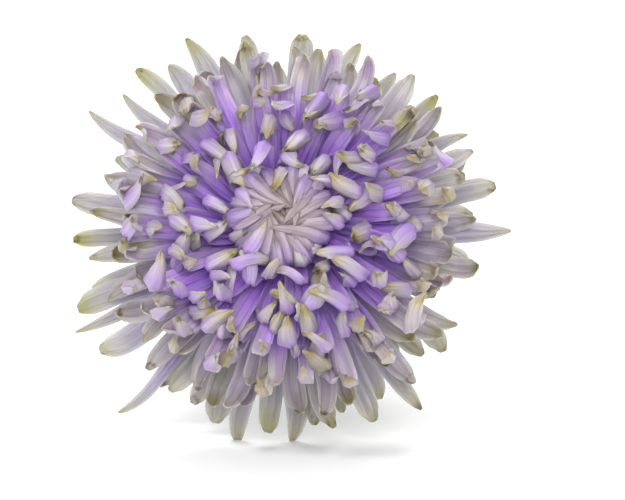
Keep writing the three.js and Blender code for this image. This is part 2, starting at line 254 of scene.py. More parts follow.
def blade_section(name, columns, lifts):
    """A flat lens: columns close up towards its edges, and its skin thins to nothing there."""
    across = [math.sin(math.pi / 2 * (2 * i / (columns - 1) - 1)) for i in range(columns)]
    rows = []
    for side, run in ((1, across), (-1, across[-2:0:-1])):
        for a in run:
            skin = side * 0.5 * math.sqrt(max(0, 1 - a * a))
            lift = [lifts[key](a) for key in ("cup", "groove", "edge")]
            rows.append(((a, skin, lifts["along"](a)), lift))
    return section_object(name, rows)


def round_section(name, columns, ribs, depth):
    """A stalk's section: a circle with shallow ribs, whose size is in its half width and its skin."""
    rows = []
    for i in range(columns):
        angle = 2 * math.pi * i / columns
        radius = 1 - depth * (0.5 - 0.5 * math.cos(ribs * angle))
        rows.append(((radius * math.cos(angle), radius * math.sin(angle), 0), (0, 0, 0)))
    return section_object(name, rows)


def sweep(name, spines, section, material):
    """Makes one piece from spines, each a list of stations, which are dicts in millimetres."""
    stations = [station for spine in spines for station in spine]
    points = [station["at"] * MM for station in stations]
    scales = {"size": MM, "shape": MM}
    fields = {
        field: [Vector(station[field]) * scales.get(field, 1) for station in stations]
        for field in STATION_FIELDS
    }
    cloud = point_cloud(name + "_stations", points, fields)
    nodes = cloud.modifiers.new("sweep", "NODES")
    nodes.node_group = SWEEP
    values = {
        "Section": section,
        "Stations per spine": len(spines[0]),
        "Points per ring": len(section.data.vertices),
        "Weld distance": 0.002 * MM,
        "Material": material,
    }
    for item in SWEEP.interface.items_tree:
        if item.name in values:
            nodes[item.identifier] = values[item.name]
    evaluated = cloud.evaluated_get(bpy.context.evaluated_depsgraph_get())
    mesh = bpy.data.meshes.new_from_object(evaluated)
    bpy.data.objects.remove(cloud)
    made = bpy.data.objects.new(name, mesh)
    bpy.context.scene.collection.objects.link(made)
    mesh.name = name
    tidy_skin(mesh)
    return made


def tidy_skin(mesh):
    """Turns every face outwards and keeps the points inside the flower's box, over the table."""
    shell = bmesh.new()
    shell.from_mesh(mesh)
    bmesh.ops.delete(shell, geom=[v for v in shell.verts if not v.link_faces], context="VERTS")
    bmesh.ops.recalc_face_normals(shell, faces=shell.faces)
    shell.to_mesh(mesh)
    shell.free()
    mesh.polygons.foreach_set("use_smooth", [True] * len(mesh.polygons))
    points = np.empty(len(mesh.vertices) * 3)
    mesh.vertices.foreach_get("co", points)
    inside = np.clip(points.reshape(-1, 3), np.array(CAD_BOX[0]), np.array(CAD_BOX[1]))
    mesh.vertices.foreach_set("co", inside.ravel())
    mesh.update()


def closed(spine):
    """A spine whose ends are closed by a station of no size at each end."""
    ends = [dict(spine[i], size=(0, 0, 0), shape=(0, 0, 0)) for i in (0, -1)]
    return [ends[0], *spine, ends[1]]


# Florets
#
# Each whorl has a rule that gives a floret as a dict of these values:
#   azimuth, root_polar: where it starts in the core, round the axis and down from it
#   bend_radius, bend_level: where it bends, on or near the dome
#   tip_length: how far it goes on from its bend
#   curl, curl_share: how far its tip turns over, and over which share of the tip
#   bow: how far it arches on the way to its bend
#   lean, sweep: how far it is turned to the left at its bend and at its tip
#   sway, twist: how far it swings to the left on its way, and turns about its own run
#   half_width, blunt: half its width, and its tip from 0, pointed, to 1, blunt
#   cup, open: the depth of its channel, and the share of it that is left at the tip
#   crease, ruffle, notch: the strength of its creases, of its wavy edges and of its notched tip
#   paling: how pale it turns on the outside of the bloom

BODY_STEPS = 8
TIP_STEPS = 20
COLOUR_REACH = 40  # a floret's colour changes over this length from its tip


def root_point(polar, azimuth):
    """Where a floret starts, sunk in the core."""
    radius = ROOTS_RADIUS * math.sin(polar)
    level = ROOTS_LEVEL + ROOTS_HALF_HEIGHT * math.cos(polar)
    return Vector((radius * math.cos(azimuth), radius * math.sin(azimuth), level))


def floret_spine(floret):
    """Where a floret runs: from the core to a bend on the dome, then curling over its tip."""
    azimuth = math.radians(floret["azimuth"])
    root = root_point(math.radians(floret["root_polar"]), azimuth)
    run = floret["bend_radius"] - math.hypot(root.x, root.y)
    rise = floret["bend_level"] - root.z
    body = math.hypot(run, rise)
    slope = math.atan2(rise, run)
    length = body + floret["tip_length"]
    share = body / length

    def pose(s):
        """The directions of a floret's run, width and face at a share of its length."""
        along = min(1, s / share)
        over = max(0, (s - share) / (1 - share))
        curled = smooth(over / floret["curl_share"])
        arch = math.radians(floret["bow"]) * (1 - 2 * along)
        rising = slope + arch + math.radians(floret["curl"]) * curled
        sway = floret["sway"] * math.sin(math.pi * along)
        turned = mix(floret["lean"], floret["sweep"], over) * smooth(along)
        heading = azimuth + math.radians(turned + sway)
        forward = Vector((
            math.cos(rising) * math.cos(heading),
            math.cos(rising) * math.sin(heading),
            math.sin(rising),
        ))
        side = Vector((-math.sin(heading), math.cos(heading), 0))
        side = Matrix.Rotation(math.radians(floret["twist"]) * smooth(s), 3, forward) @ side
        return forward, side, forward.cross(side)

    places = [share * step / BODY_STEPS for step in range(BODY_STEPS)]
    places += [mix(share, 1, step / TIP_STEPS) for step in range(TIP_STEPS + 1)]
    at = root.copy()
    stations = []
    for s, following in zip(places, [*places[1:], 1]):
        forward, side, face = pose(s)
        stations.append((s, (1 - s) * length, at.copy(), forward, side, face))
        at += pose((s + following) / 2)[0] * ((following - s) * length)
    return stations


CLAW_WIDTH = 0.34  # a floret's width at its root, as a share of its widest
CLAW_END = 0.6
# The tip's values are pairs: for a pointed tip and for a blunt one.
TIP_START = (0.6, 0.84)
TIP_TAPER = (1.7, 2.8)
TIP_ROUNDING = (0.8, 0.5)
TIP_WIDTH = (0.08, 0.4)


def width_share(s, blunt):
    """A floret's half width along its run: a claw, a strap, and a tip from pointed to blunt."""
    claw = mix(CLAW_WIDTH, 1, smooth(s / CLAW_END))
    start = mix(*TIP_START, blunt)
    over = max(0, (s - start) / (1 - start))
    tip = max(0, 1 - over ** mix(*TIP_TAPER, blunt)) ** mix(*TIP_ROUNDING, blunt)
    return claw * mix(mix(*TIP_WIDTH, blunt), 1, tip)


FLORET_SKIN = 0.4
NOTCH_DEPTH = 1.6
PALE_RADIUS = 22  # florets start to pale this far from the bloom's axis
PALE_REACH = 24


def floret_stations(floret, i):
    """A floret's stations, with its channel, creases, ruffled edges and notched tip."""
    spine = []
    phase = 3 * scatter(i, 51)
    waves = 11 + 3 * scatter(i, 54)
    tone = 0.5 + 0.5 * scatter(i, 52)
    chance = 0.5 + 0.5 * scatter(i, 53)
    for s, from_tip, at, forward, side, face in floret_spine(floret):
        half = floret["half_width"] * width_share(s, floret["blunt"])
        cup = half * floret["cup"] * mix(1, floret["open"], smooth((s - 0.5) / 0.4))
        crease = floret["crease"] * half * smooth(s / 0.2) * smooth((1.05 - s) / 0.25)
        ruffle = floret["ruffle"] * smooth((s - 0.45) / 0.4) * math.sin(waves * s + phase)
        paled = floret["paling"] * smooth((math.hypot(at.x, at.y) - PALE_RADIUS) / PALE_REACH)
        level = max(1 - min(1, from_tip / COLOUR_REACH), paled)
        spine.append({
            "at": HEAD + in_head(at),
            "side": in_head(side),
            "face": in_head(face),
            "forward": in_head(forward),
            "size": (half, FLORET_SKIN, NOTCH_DEPTH * smooth((s - 0.9) / 0.1) * floret["notch"]),
            "shape": (cup, crease, ruffle),
            "tint": (level, tone, chance),
        })
    return closed(spine)


SWIRL = 60


def swirl_floret(i):
    """The centre: florets that rise to a shoulder and lie over the top in one turning swirl."""
    q = (i + 0.5) / SWIRL
    shoulder = mix(2, 15.5, q ** 0.6)
    return {
        "azimuth": i * GOLDEN_ANGLE,
        "root_polar": mix(6, 32, q),
        "bend_radius": shoulder,
        "bend_level": mix(41.5, 39.5, q) + 0.6 * scatter(i, 1),
        "tip_length": shoulder * mix(1.4, 1.32, q) + 4 + 2.5 * scatter(i, 2),
        "curl": mix(98, 128, q) + 7 * scatter(i, 3),
        "curl_share": 0.5,
        "bow": 4,
        "lean": -24,
        "sweep": mix(8, 26, q) + 8 * scatter(i, 4),
        "sway": 0,
        "twist": 12 + 14 * scatter(i, 5),
        "half_width": mix(1.4, 2.7, q),
        "blunt": 0.2,
        "cup": 0.45,
        "open": 1.2,
        "crease": 0.26,
        "ruffle": 0.2,
        "notch": 0.4,
        "paling": 0,
    }


HOOKED = 96


def hooked_floret(i):
    """The middle: straps that lean out and hook their tips back over the face."""
    q = (i + 0.5) / HOOKED
    radius = mix(14, 48, q)
    return {
        "azimuth": (i + SWIRL) * GOLDEN_ANGLE + 6 * scatter(i, 11),
        "root_polar": mix(34, 82, q),
        "bend_radius": radius + 1.5 * scatter(i, 12),
        "bend_level": dome_level(radius) - 4 + 3.5 * scatter(i, 13),
        "tip_length": mix(13, 19, q ** 0.5) + 4 * scatter(i, 14),
        "curl": mix(128, 108, q) + 40 * scatter(i, 15),
        "curl_share": 0.6 + 0.2 * scatter(i, 45),
        "bow": mix(10, 16, q),
        "lean": mix(-30, 0, q ** 0.5),
        "sweep": 105 * scatter(i, 16),
        "sway": 7 * scatter(i, 41),
        "twist": 50 * scatter(i, 17),
        "half_width": mix(2.1, 3.3, q ** 0.5) + 0.4 * scatter(i, 18),
        "blunt": 0.4 + 0.4 * scatter(i, 19),
        "cup": 0.7 + 0.2 * scatter(i, 43),
        "open": 1 + 0.4 * scatter(i, 44),
        "crease": 0.16,
        "ruffle": 1.2,
        "notch": 1.2,
        "paling": 0.8,
    }


DEEP = 90


def deep_floret(i):
    """Shorter straps that fill in between the hooked ones, lower down."""
    q = (i + 0.5) / DEEP
    radius = math.sqrt(mix(23 ** 2, 49.5 ** 2, q))
    floret = hooked_floret(round(q * HOOKED))
    floret.update({
        "azimuth": (i + 7.5) * GOLDEN_ANGLE + 8 * scatter(i, 71),
        "bend_radius": radius,
        "bend_level": dome_level(radius) - 6.5 + 3 * scatter(i, 72),
        "tip_length": 15.5 + 3.5 * scatter(i, 73),
        "curl": mix(124, 106, q) + 30 * scatter(i, 74),
        "sweep": 80 * scatter(i, 75),
        "half_width": 2.8 + 0.3 * scatter(i, 76),
        "paling": 0.9,
    })
    return floret


SPREAD = 52


def spread_floret(i):
    """The outside: longer straps that lie out level and lift or curl their tips a little."""
    q = (i + 0.5) / SPREAD
    reach = mix(51, 58, q)
    return {
        "azimuth": (i + SWIRL + HOOKED) * GOLDEN_ANGLE + 4 * scatter(i, 21),
        "root_polar": mix(80, 98, q),
        "bend_radius": reach - 9 + 2 * scatter(i, 22),
        "bend_level": mix(24, 5, q) + 2 * scatter(i, 23),
        "tip_length": 13 + 3 * scatter(i, 24),
        "curl": mix(80, 30, q) + 50 * scatter(i, 25),
        "curl_share": 0.9,
        "bow": mix(14, 9, q),
        "lean": 0,
        "sweep": 34 * scatter(i, 26),
        "sway": 5 * scatter(i, 42),
        "twist": 26 * scatter(i, 27),
        "half_width": 3.5 + 0.5 * scatter(i, 28),
        "blunt": 0.7 + 0.3 * scatter(i, 29),
        "cup": 0.45,
        "open": 0.8 + 0.4 * scatter(i, 46),
        "crease": 0.18,
        "ruffle": 1,
        "notch": 1,
        "paling": 0.75,
    }


# The rim florets make the bloom's outline and are chosen one by one: azimuth from the right, reach
# and half width, bluntness of the tip from 0 to 1, and the turn of the tip to the left.
RIM = [
    (118.5, 73, 4.0, 0.2, 8),
    (104, 66, 3.2, 0.9, 2),
    (96, 58, 3.0, 0.8, 0),
    (88, 65, 3.9, 0.9, -4),
    (80, 54, 3.0, 0.8, 0),
    (72, 65, 3.2, 0.4, -14),
    (60, 63, 3.7, 0.3, -6),
    (46, 65, 2.7, 0.7, 0),
    (37, 57, 3.6, 0.9, 0),
    (32, 64, 2.8, 0.1, -20),
    (26, 60, 3.4, 0.9, 22),
    (16, 66, 3.6, 1.0, 0),
    (9, 58, 3.8, 0.7, -8),
    (2, 68, 4.2, 0.0, 6),
    (354, 58, 3.9, 0.7, -6),
    (340, 49, 3.4, 0.8, -10),
    (325, 60, 3.5, 0.9, -16),
    (319, 55, 3.2, 0.8, -6),
    (307.5, 67, 3.0, 0.4, -4),
    (295, 63, 3.7, 0.9, -4),
    (287, 57, 2.8, 0.9, 0),
    (278, 59, 3.2, 0.9, -4),
    (271, 64, 4.3, 0.2, -12),
    (264, 62, 3.7, 0.9, 0),
    (255, 67, 3.4, 0.5, 4),
    (248, 63, 4.2, 0.9, 4),
    (240, 61, 3.2, 0.8, 0),
    (233, 61, 3.2, 0.8, -10),
    (226, 77, 2.1, 0.3, -20),
    (211, 70, 4.3, 0.9, -4),
    (204, 74, 2.5, 0.1, 6),
    (199, 71, 4.0, 0.9, 8),
    (194, 65, 3.2, 0.7, 0),
    (186, 64, 3.0, 0.5, -4),
    (177, 67, 2.8, 0.1, -26),
    (171, 70, 4.0, 0.8, 8),
    (161, 66, 3.2, 0.2, -24),
    (156, 61, 3.4, 0.7, 10),
    (148, 78, 2.9, 0.2, -6),
    (140, 71, 2.9, 0.1, -16),
    (133, 75, 3.1, 0.7, 6),
    (126, 69, 4.0, 0.3, 4),
    (312, 51, 3.2, 0.8, -4),
    (300, 58, 3.4, 0.8, -4),
    (229, 62, 3.2, 0.7, -4),
    (180, 71, 3.0, 0.7, 0),
]
RIM_TIP = 15


def rim_floret(i):
    """The rim: straps laid out by the table above, nearly level."""
    azimuth, reach, half_width, blunt, turn = RIM[i]
    bend = 6 * scatter(i, 35)
    return {
        "azimuth": azimuth + 0.1 * turn + 0.28 * bend,
        "root_polar": 104 + 3 * scatter(i, 31),
        "bend_radius": reach - RIM_TIP * math.cos(math.radians(turn) / 2),
        "bend_level": -2 + 4 * scatter(i, 32) + 3 * (i % 2),
        "tip_length": RIM_TIP,
        "curl": 8 + 24 * scatter(i, 33),
        "curl_share": 1,
        "bow": 8,
        "lean": -0.5 * turn - bend,
        "sweep": 1.3 * turn + 2 * bend,
        "sway": 0,
        "twist": 12 * scatter(i, 34),
        "half_width": half_width,
        "blunt": blunt,
        "cup": 0.35,
        "open": 0.8,
        "crease": 0.24,
        "ruffle": 0.7,
        "notch": blunt,
        "paling": 0,
    }


# Stem and leaves


def bezier(points, t):
    """A place on a curve with these corners, and the curve's direction there."""
    while len(points) > 2:
        points = [a.lerp(b, t) for a, b in zip(points, points[1:])]
    return points[0].lerp(points[1], t), (points[1] - points[0]).normalized()


def stem_points():
    """The corners of the curve that the stem follows."""
    top = HEAD - OUTWARD * (CUP_FOOT + SEAM)
    foot = Vector((HEAD.x + STEM_ASIDE, top.y + STEM_BACK, STEM_RADIUS - STEM_PRESSED))
    return [top, top - OUTWARD * STEM_NECK, foot + Vector((-1, -STEM_TAIL, STEM_TAIL_RISE)), foot]


STEM_STEPS = 80
NODE_SWELL = 0.06  # how much thicker the stem is where a leaf leaves it
NODE_SHARE = 0.012
CUT_SHARE = 0.92  # the radius of the stem's two end faces
CUT_BEVEL = 0.4


def stem_spine():
    """Stations down the stem, which swells at each leaf and has its ends bevelled."""
    spine = []
    for step in range(STEM_STEPS + 1):
        t = step / STEM_STEPS
        at, forward = bezier(stem_points(), t)
        side = forward.cross(UP).normalized()
        swell = sum(math.exp(-(((t - leaf["at"]) / NODE_SHARE) ** 2)) for leaf in LEAVES)
        radius = STEM_RADIUS * (1 + NODE_SWELL * swell)
        spine.append({
            "at": at, "side": side, "face": side.cross(forward), "forward": forward,
            "size": (radius, radius, 0), "shape": (0, 0, 0), "tint": (t, 0, 0),
        })
    cut = STEM_RADIUS * CUT_SHARE
    top, foot = (dict(spine[i], size=(cut, cut, 0)) for i in (0, -1))
    bevel = dict(spine[-1], at=spine[-1]["at"] - spine[-1]["forward"] * CUT_BEVEL)
    return closed([top, *spine[1:-1], bevel, foot])


# Where each leaf leaves the stem (share of its length), the side it leaves by, the way its blade
# faces, and how far its tip reaches from its base. A leaf with no rise droops onto the table.
LEAVES = [
    {"name": "leaf_upper", "at": 0.4,
     "out": (0.35, 0, 1), "facing": (0.5, -0.6, 1), "reach": (17, -52, 27)},
    {"name": "leaf_middle", "at": 0.57,
     "out": (-0.8, 0, 0.6), "facing": (-0.6, -0.3, 1), "reach": (-31, -50, 20)},
    {"name": "leaf_right", "at": 0.74,
     "out": (1, 0, 0.3), "facing": (0.2, 0, 1), "reach": (15, -60, None)},
    {"name": "leaf_left", "at": 0.88,
     "out": (-1, 0, 0.3), "facing": (-0.2, 0, 1), "reach": (-23, -62, None)},
]
LEAF_ROWS = 120
LEAF_TEETH = 15
LEAF_TOOTH_DEPTH = 0.1
LEAF_HALF_WIDTH = 17
LEAF_PETIOLE = 0.2  # the leaf stalk's share of the leaf's length
LEAF_PETIOLE_HALF = 1.2
LEAF_SKINS = (1.8, 0.7)  # thickness of the leaf stalk and of the blade
LEAF_BULGE = (5, 7)  # how far a leaf arches away from the stem and upwards
LEAF_REST = 0.5  # height of a drooping leaf's tip
LEAF_FOLD = 14
LEAF_LEAN = 0.45  # how far the blade's edges are moved on to its tip, as a share of its half width
LEAF_NOTCHES = (0.3, 0.64)
LEAF_NOTCH_DEPTH = 0.56
LEAF_NOTCH_WIDTH = 0.06
LEAF_VEINS = (0.12, 0.22, 0.44, 0.55, 0.76, 0.86)
LEAF_VEIN_WIDTH = 0.012
LEAF_VEIN_DEPTH = 0.35
LEAF_WAVE = (0.8, 34)  # height of the waves at the edge, and their turns in radians


def leaf_share(t):
    """Half width at a place along the rib: two pairs of toothed lobes and a lobed end."""
    u = (t - LEAF_PETIOLE) / (1 - LEAF_PETIOLE)
    if u <= 0:
        return 0
    outline = max(0, math.sin(math.pi * min(1, u ** 0.8))) ** 0.6
    cut = sum(math.exp(-(((u - place) / LEAF_NOTCH_WIDTH) ** 2)) for place in LEAF_NOTCHES)
    tooth = 1 - LEAF_TOOTH_DEPTH + LEAF_TOOTH_DEPTH * abs(2 * (t * LEAF_TEETH % 1) - 1)
    return outline * (1 - LEAF_NOTCH_DEPTH * cut) * tooth


def leaf_spine(leaf):
    """Stations along a leaf's rib, from the stem to its tip."""
    node = bezier(stem_points(), leaf["at"])[0]
    out = Vector(leaf["out"]).normalized()
    base = node + out * (STEM_RADIUS + SEAM + LEAF_PETIOLE_HALF)
    aside, ahead, rise = leaf["reach"]
    tip = Vector((base.x + aside, base.y + ahead, LEAF_REST if rise is None else base.z + rise))
    bulge = base.lerp(tip, 0.5) + out * LEAF_BULGE[0] + UP * LEAF_BULGE[1]
    spine = []
    for row in range(LEAF_ROWS + 1):
        t = row / LEAF_ROWS
        at, along = bezier([base, bulge, tip], t)
        side = along.cross(Vector(leaf["facing"])).normalized()
        half = max(LEAF_PETIOLE_HALF * mix(1, 0.6, t), LEAF_HALF_WIDTH * leaf_share(t))
        u = (t - LEAF_PETIOLE) / (1 - LEAF_PETIOLE)
        blade = smooth(u / 0.1)
        vein = blade * sum(math.exp(-(((u - place) / LEAF_VEIN_WIDTH) ** 2)) for place in LEAF_VEINS)
        fold = half * math.sin(math.radians(LEAF_FOLD))
        wave = LEAF_WAVE[0] * blade * math.sin(LEAF_WAVE[1] * t)
        spine.append({
            "at": at, "side": side, "face": side.cross(along).normalized(), "forward": along,
            "size": (half, mix(*LEAF_SKINS, blade), LEAF_LEAN * half),
            "shape": (fold, LEAF_VEIN_DEPTH * vein, wave),
            "tint": (t, vein, 0.5),
        })
    return closed(spine)


# Bracts: each row has its number, the radius and level of its bases and tips, and its half width.
BRACT_ROWS = [
    (11, (6.2, -10.2), (15.2, -4.6), 2.8),
    (12, (8.4, -8.2), (17, -0.9), 2.9),
    (13, (10.4, -5.6), (18, 2.6), 3),
]
BRACT_STEPS = 14
BRACT_OFF = 0.4  # how far a bract stands off the bowl
BRACT_SKINS = (0.9, 0.35)  # thickness at its base and at its tip
BRACT_HOLLOW = 0.35  # how far its edges bend inwards, as a share of its half width
BRACT_KEEL = 0.3


def bract_spine(row, i):
    """Stations along a bract, which hugs the bowl at its base and leaves it at its tip."""
    count, base, tip, half_width = BRACT_ROWS[row]
    azimuth = (i + 0.5 * (row % 2)) / count * 2 * math.pi
    out = Vector((math.cos(azimuth), math.sin(azimuth), 0))
    side = Vector((-math.sin(azimuth), math.cos(azimuth), 0))
    bulge = (mix(base[0], tip[0], 0.6), mix(base[1], tip[1], 0.35))
    line = [out * radius + Vector((0, 0, level)) for radius, level in (base, bulge, tip)]
    paleness = 0.5 + 0.5 * scatter(i, 61 + row)
    spine = []
    for step in range(BRACT_STEPS + 1):
        s = step / BRACT_STEPS
        at, along = bezier(line, s)
        outward = side.cross(along)
        half = half_width * mix(0.12, 1, math.sin(math.pi * mix(0.3, 1, s)))
        spine.append({
            "at": HEAD + in_head(at + outward * BRACT_OFF),
            "side": in_head(side), "face": in_head(outward), "forward": in_head(along),
            "size": (half, mix(*BRACT_SKINS, s), 0),
            "shape": (-BRACT_HOLLOW * half, -BRACT_KEEL, 0),
            "tint": (s, paleness, 0.5),
        })
    return closed(spine)


def bowl_spine(profile, steps):
    """Stations up the head's axis whose round section follows a profile of radii and levels."""
    spine = []
    for (r0, l0), (r1, l1) in zip(profile, profile[1:]):
        for step in range(steps):
            t = step / steps
            radius = mix(r0, r1, t)
            spine.append({
                "at": HEAD + OUTWARD * mix(l0, l1, t),
                "side": RIGHT, "face": UPWARD, "forward": OUTWARD,
                "size": (radius, radius, 0), "shape": (0, 0, 0), "tint": (0.7, 0.5, 0.5),
            })
    return closed(spine)


# Finishes. A colour is an sRGB hex value, and a pattern's scale comes from a size in millimetres.
# Stops are levels and their colours. A petal's level runs from 0 at its base to 1 at its tip.


def linear(colour):
    """The linear value of an sRGB hex colour."""
    shares = [int(colour[i:i + 2], 16) / 255 for i in (1, 3, 5)]
    return (*[c / 12.92 if c <= 0.04045 else ((c + 0.055) / 1.055) ** 2.4 for c in shares], 1)


def new_material(name, roughness):
    """A material with its node tree and its shader."""
    made = bpy.data.materials.new(name)
    made.use_nodes = True
    made.node_tree.nodes.clear()
    tree = made.node_tree
    shader = add(tree, "ShaderNodeBsdfPrincipled", {"Roughness": roughness})
    add(tree, "ShaderNodeOutputMaterial", (shader.outputs[0],))
    return made, tree, shader


def ramp(tree, value, stops):
    """A colour that follows a value from stop to stop."""
    made = add(tree, "ShaderNodeValToRGB", (value,))
    elements = made.color_ramp.elements
    while len(elements) < len(stops):
        elements.new(0.5)
    for element, (at, colour) in zip(elements, stops):
        element.position = at
        element.color = linear(colour)
    return made.outputs[0]


NOISE_RANGE = (0.3, 0.7)  # where most of a noise's values lie
SKIN_TURN = 0.06  # a petal's back turns into its face over this much of its skin
CLOUD_SIZE = 11.11
CLOUD_LEVELS = (-0.05, 0.05)
TONE_LEVELS = (-0.09, 0.07)

# Streaks run along a petal. Their sizes hold for a petal of the usual width.
USUAL_HALF_WIDTH = 3.2
STREAK_WIDTH = 0.25
STREAK_LENGTH = 10
STREAK_SHIFT = 148  # how far they move on from floret to floret
STREAK_VALUES = (0.78, 1.16)
STREAK_RELIEF = 0.3
GROOVE_PLACE = 0.38  # where a floret's two creases run, as a share of its half width
GROOVE_WIDTH = 0.12

# The green edge lies in these places across and levels along a petal, and the tip is green all over.
EDGE_PLACES = (0.76, 0.96)
EDGE_LEVELS = (0.6, 0.9)
EDGE_SHARE = 0.9
TIP_LEVELS = (0.9, 1)
RIPE_CHANCES = (0.1, 0.8)
LEAST_RIPE = 0.15

BRUISE_BROWN = "#33231b"
BRUISE_SIZE = 3.03
BRUISE_NOISE = (0.48, 0.58)
BRUISE_LEVELS = (0.92, 0.97)
BRUISE_CHANCE = 0.2  # the step in chance from no bruise to a full one
BRUISE_SHARE = 0.9


def petal_material(name, face_stops, back_stops, tip_colour, crease, greening, bruising):
    """Living petal: a satin skin of lengthwise cells, violet at its base and pale at its tip; the deep
    parts that lie in shade carry painted light, a brighter and more saturated violet.

    The eye sees fine pale streaks and two creases along each floret darkened with painted shade, a
    paler reverse, a yellow-green edge to the tip and a few brown bruises. crease is how bright the
    creases stay under their painted shade, greening how green the tips may turn, and bruising how many
    of them are bruised.
    """
    made, tree, shader = new_material(name, 0.4)
    tint = add(tree, "ShaderNodeAttribute", attribute_name="tint").outputs["Vector"]
    along, tone, chance = add(tree, "ShaderNodeSeparateXYZ", (tint,)).outputs
    place = add(tree, "ShaderNodeAttribute", attribute_name="place").outputs["Vector"]
    across, skin, _ = add(tree, "ShaderNodeSeparateXYZ", (place,)).outputs
    width = add(tree, "ShaderNodeMath", (across,), operation="ABSOLUTE").outputs[0]
    coords = add(tree, "ShaderNodeTexCoord").outputs["Object"]

    # The level that picks the colour wanders over the bloom and from floret to floret.
    cloud = add(tree, "ShaderNodeTexNoise", {
        "Vector": coords, "Scale": 1 / (CLOUD_SIZE * MM), "Detail": 3}).outputs[0]
    wander = add(tree, "ShaderNodeMapRange", (cloud, *NOISE_RANGE, *CLOUD_LEVELS)).outputs[0]
    reach = add(tree, "ShaderNodeMapRange", (tone, 0, 1, *TONE_LEVELS)).outputs[0]
    level = add(tree, "ShaderNodeMath", (along, wander), operation="ADD").outputs[0]
    level = add(tree, "ShaderNodeMath", (level, reach), operation="ADD").outputs[0]
    facing = add(tree, "ShaderNodeMapRange", (skin, -SKIN_TURN, SKIN_TURN)).outputs[0]
    colour = add(tree, "ShaderNodeMix", {
        0: facing, 6: ramp(tree, level, back_stops), 7: ramp(tree, level, face_stops),
    }, data_type="RGBA").outputs[2]

    # Streaks of cells, and painted shade that darkens the creases.
    pattern = add(tree, "ShaderNodeCombineXYZ", (across, along, tone)).outputs[0]
    stretch = (USUAL_HALF_WIDTH / STREAK_WIDTH, COLOUR_REACH / STREAK_LENGTH, STREAK_SHIFT)
    pattern = add(tree, "ShaderNodeVectorMath", (pattern, stretch), operation="MULTIPLY").outputs[0]
    streak = add(tree, "ShaderNodeTexNoise", {
        "Vector": pattern, "Scale": 1, "Detail": 4}).outputs[0]
    bright = add(tree, "ShaderNodeMapRange", (streak, *NOISE_RANGE, *STREAK_VALUES)).outputs[0]
    aside = add(tree, "ShaderNodeMath", (width, GROOVE_PLACE), operation="SUBTRACT").outputs[0]
    aside = add(tree, "ShaderNodeMath", (aside,), operation="ABSOLUTE").outputs[0]
    # Painted shade: the colour darkens along the two creases, where shade falls.
    crease_painted_shade = add(tree, "ShaderNodeMapRange", (aside, 0, GROOVE_WIDTH, crease)).outputs[0]
    value = add(tree, "ShaderNodeMath", (bright, crease_painted_shade), operation="MULTIPLY").outputs[0]
    colour = add(tree, "ShaderNodeHueSaturation", {"Value": value, "Color": colour}).outputs[0]

    # The edge of the tip, greener on some florets than on others.
    at_edge = add(tree, "ShaderNodeMapRange", (width, *EDGE_PLACES, 0, EDGE_SHARE)).outputs[0]
    near_tip = add(tree, "ShaderNodeMapRange", (level, *EDGE_LEVELS)).outputs[0]
    at_tip = add(tree, "ShaderNodeMapRange", (level, *TIP_LEVELS)).outputs[0]
    ripe = add(tree, "ShaderNodeMapRange", (chance, *RIPE_CHANCES, LEAST_RIPE, greening)).outputs[0]
    green = add(tree, "ShaderNodeMath", (at_edge, near_tip), operation="MULTIPLY").outputs[0]
    green = add(tree, "ShaderNodeMath", (green, at_tip), operation="MAXIMUM").outputs[0]
    green = add(tree, "ShaderNodeMath", (green, ripe), operation="MULTIPLY").outputs[0]
    colour = add(tree, "ShaderNodeMix", {
        0: green, 6: colour, 7: linear(tip_colour)}, data_type="RGBA").outputs[2]

    # Bruises, on the unlucky florets alone.
    spots = add(tree, "ShaderNodeTexNoise", {
        "Vector": coords, "Scale": 1 / (BRUISE_SIZE * MM), "Detail": 2}).outputs[0]
    spotted = add(tree, "ShaderNodeMapRange", (spots, *BRUISE_NOISE)).outputs[0]
    near_end = add(tree, "ShaderNodeMapRange", (along, *BRUISE_LEVELS)).outputs[0]
    lucky = 1 - bruising
    unlucky = add(tree, "ShaderNodeMapRange", (
        chance, lucky, lucky + BRUISE_CHANCE, 0, BRUISE_SHARE)).outputs[0]
    bruise = add(tree, "ShaderNodeMath", (spotted, near_end), operation="MULTIPLY").outputs[0]
    bruise = add(tree, "ShaderNodeMath", (bruise, unlucky), operation="MULTIPLY").outputs[0]
    colour = add(tree, "ShaderNodeMix", {
        0: bruise, 6: colour, 7: linear(BRUISE_BROWN)}, data_type="RGBA").outputs[2]
    tree.links.new(colour, shader.inputs["Base Color"])

    bump = add(tree, "ShaderNodeBump", {
        "Height": streak, "Strength": 0.5, "Distance": STREAK_RELIEF * MM})
    tree.links.new(bump.outputs[0], shader.inputs["Normal"])
    shader.inputs["Specular IOR Level"].default_value = 0.8
    shader.inputs["Subsurface Weight"].default_value = 0.8
    shader.inputs["Subsurface Radius"].default_value = (1, 0.92, 1)
    shader.inputs["Subsurface Scale"].default_value = 2 * MM
    return made


MOTTLE_RELIEF = 0.4
RIB_PLACES = (0.02, 0.07)  # the pale rib runs down a leaf's middle and fades out over these places
VEIN_SHARE = 0.5
UNDERSIDE_TURN = 0.02
UNDERSIDE_SHARE = 0.55
STALK_RUN = 5  # a stalk's length in its pattern, in radii, which stretches the marks along it


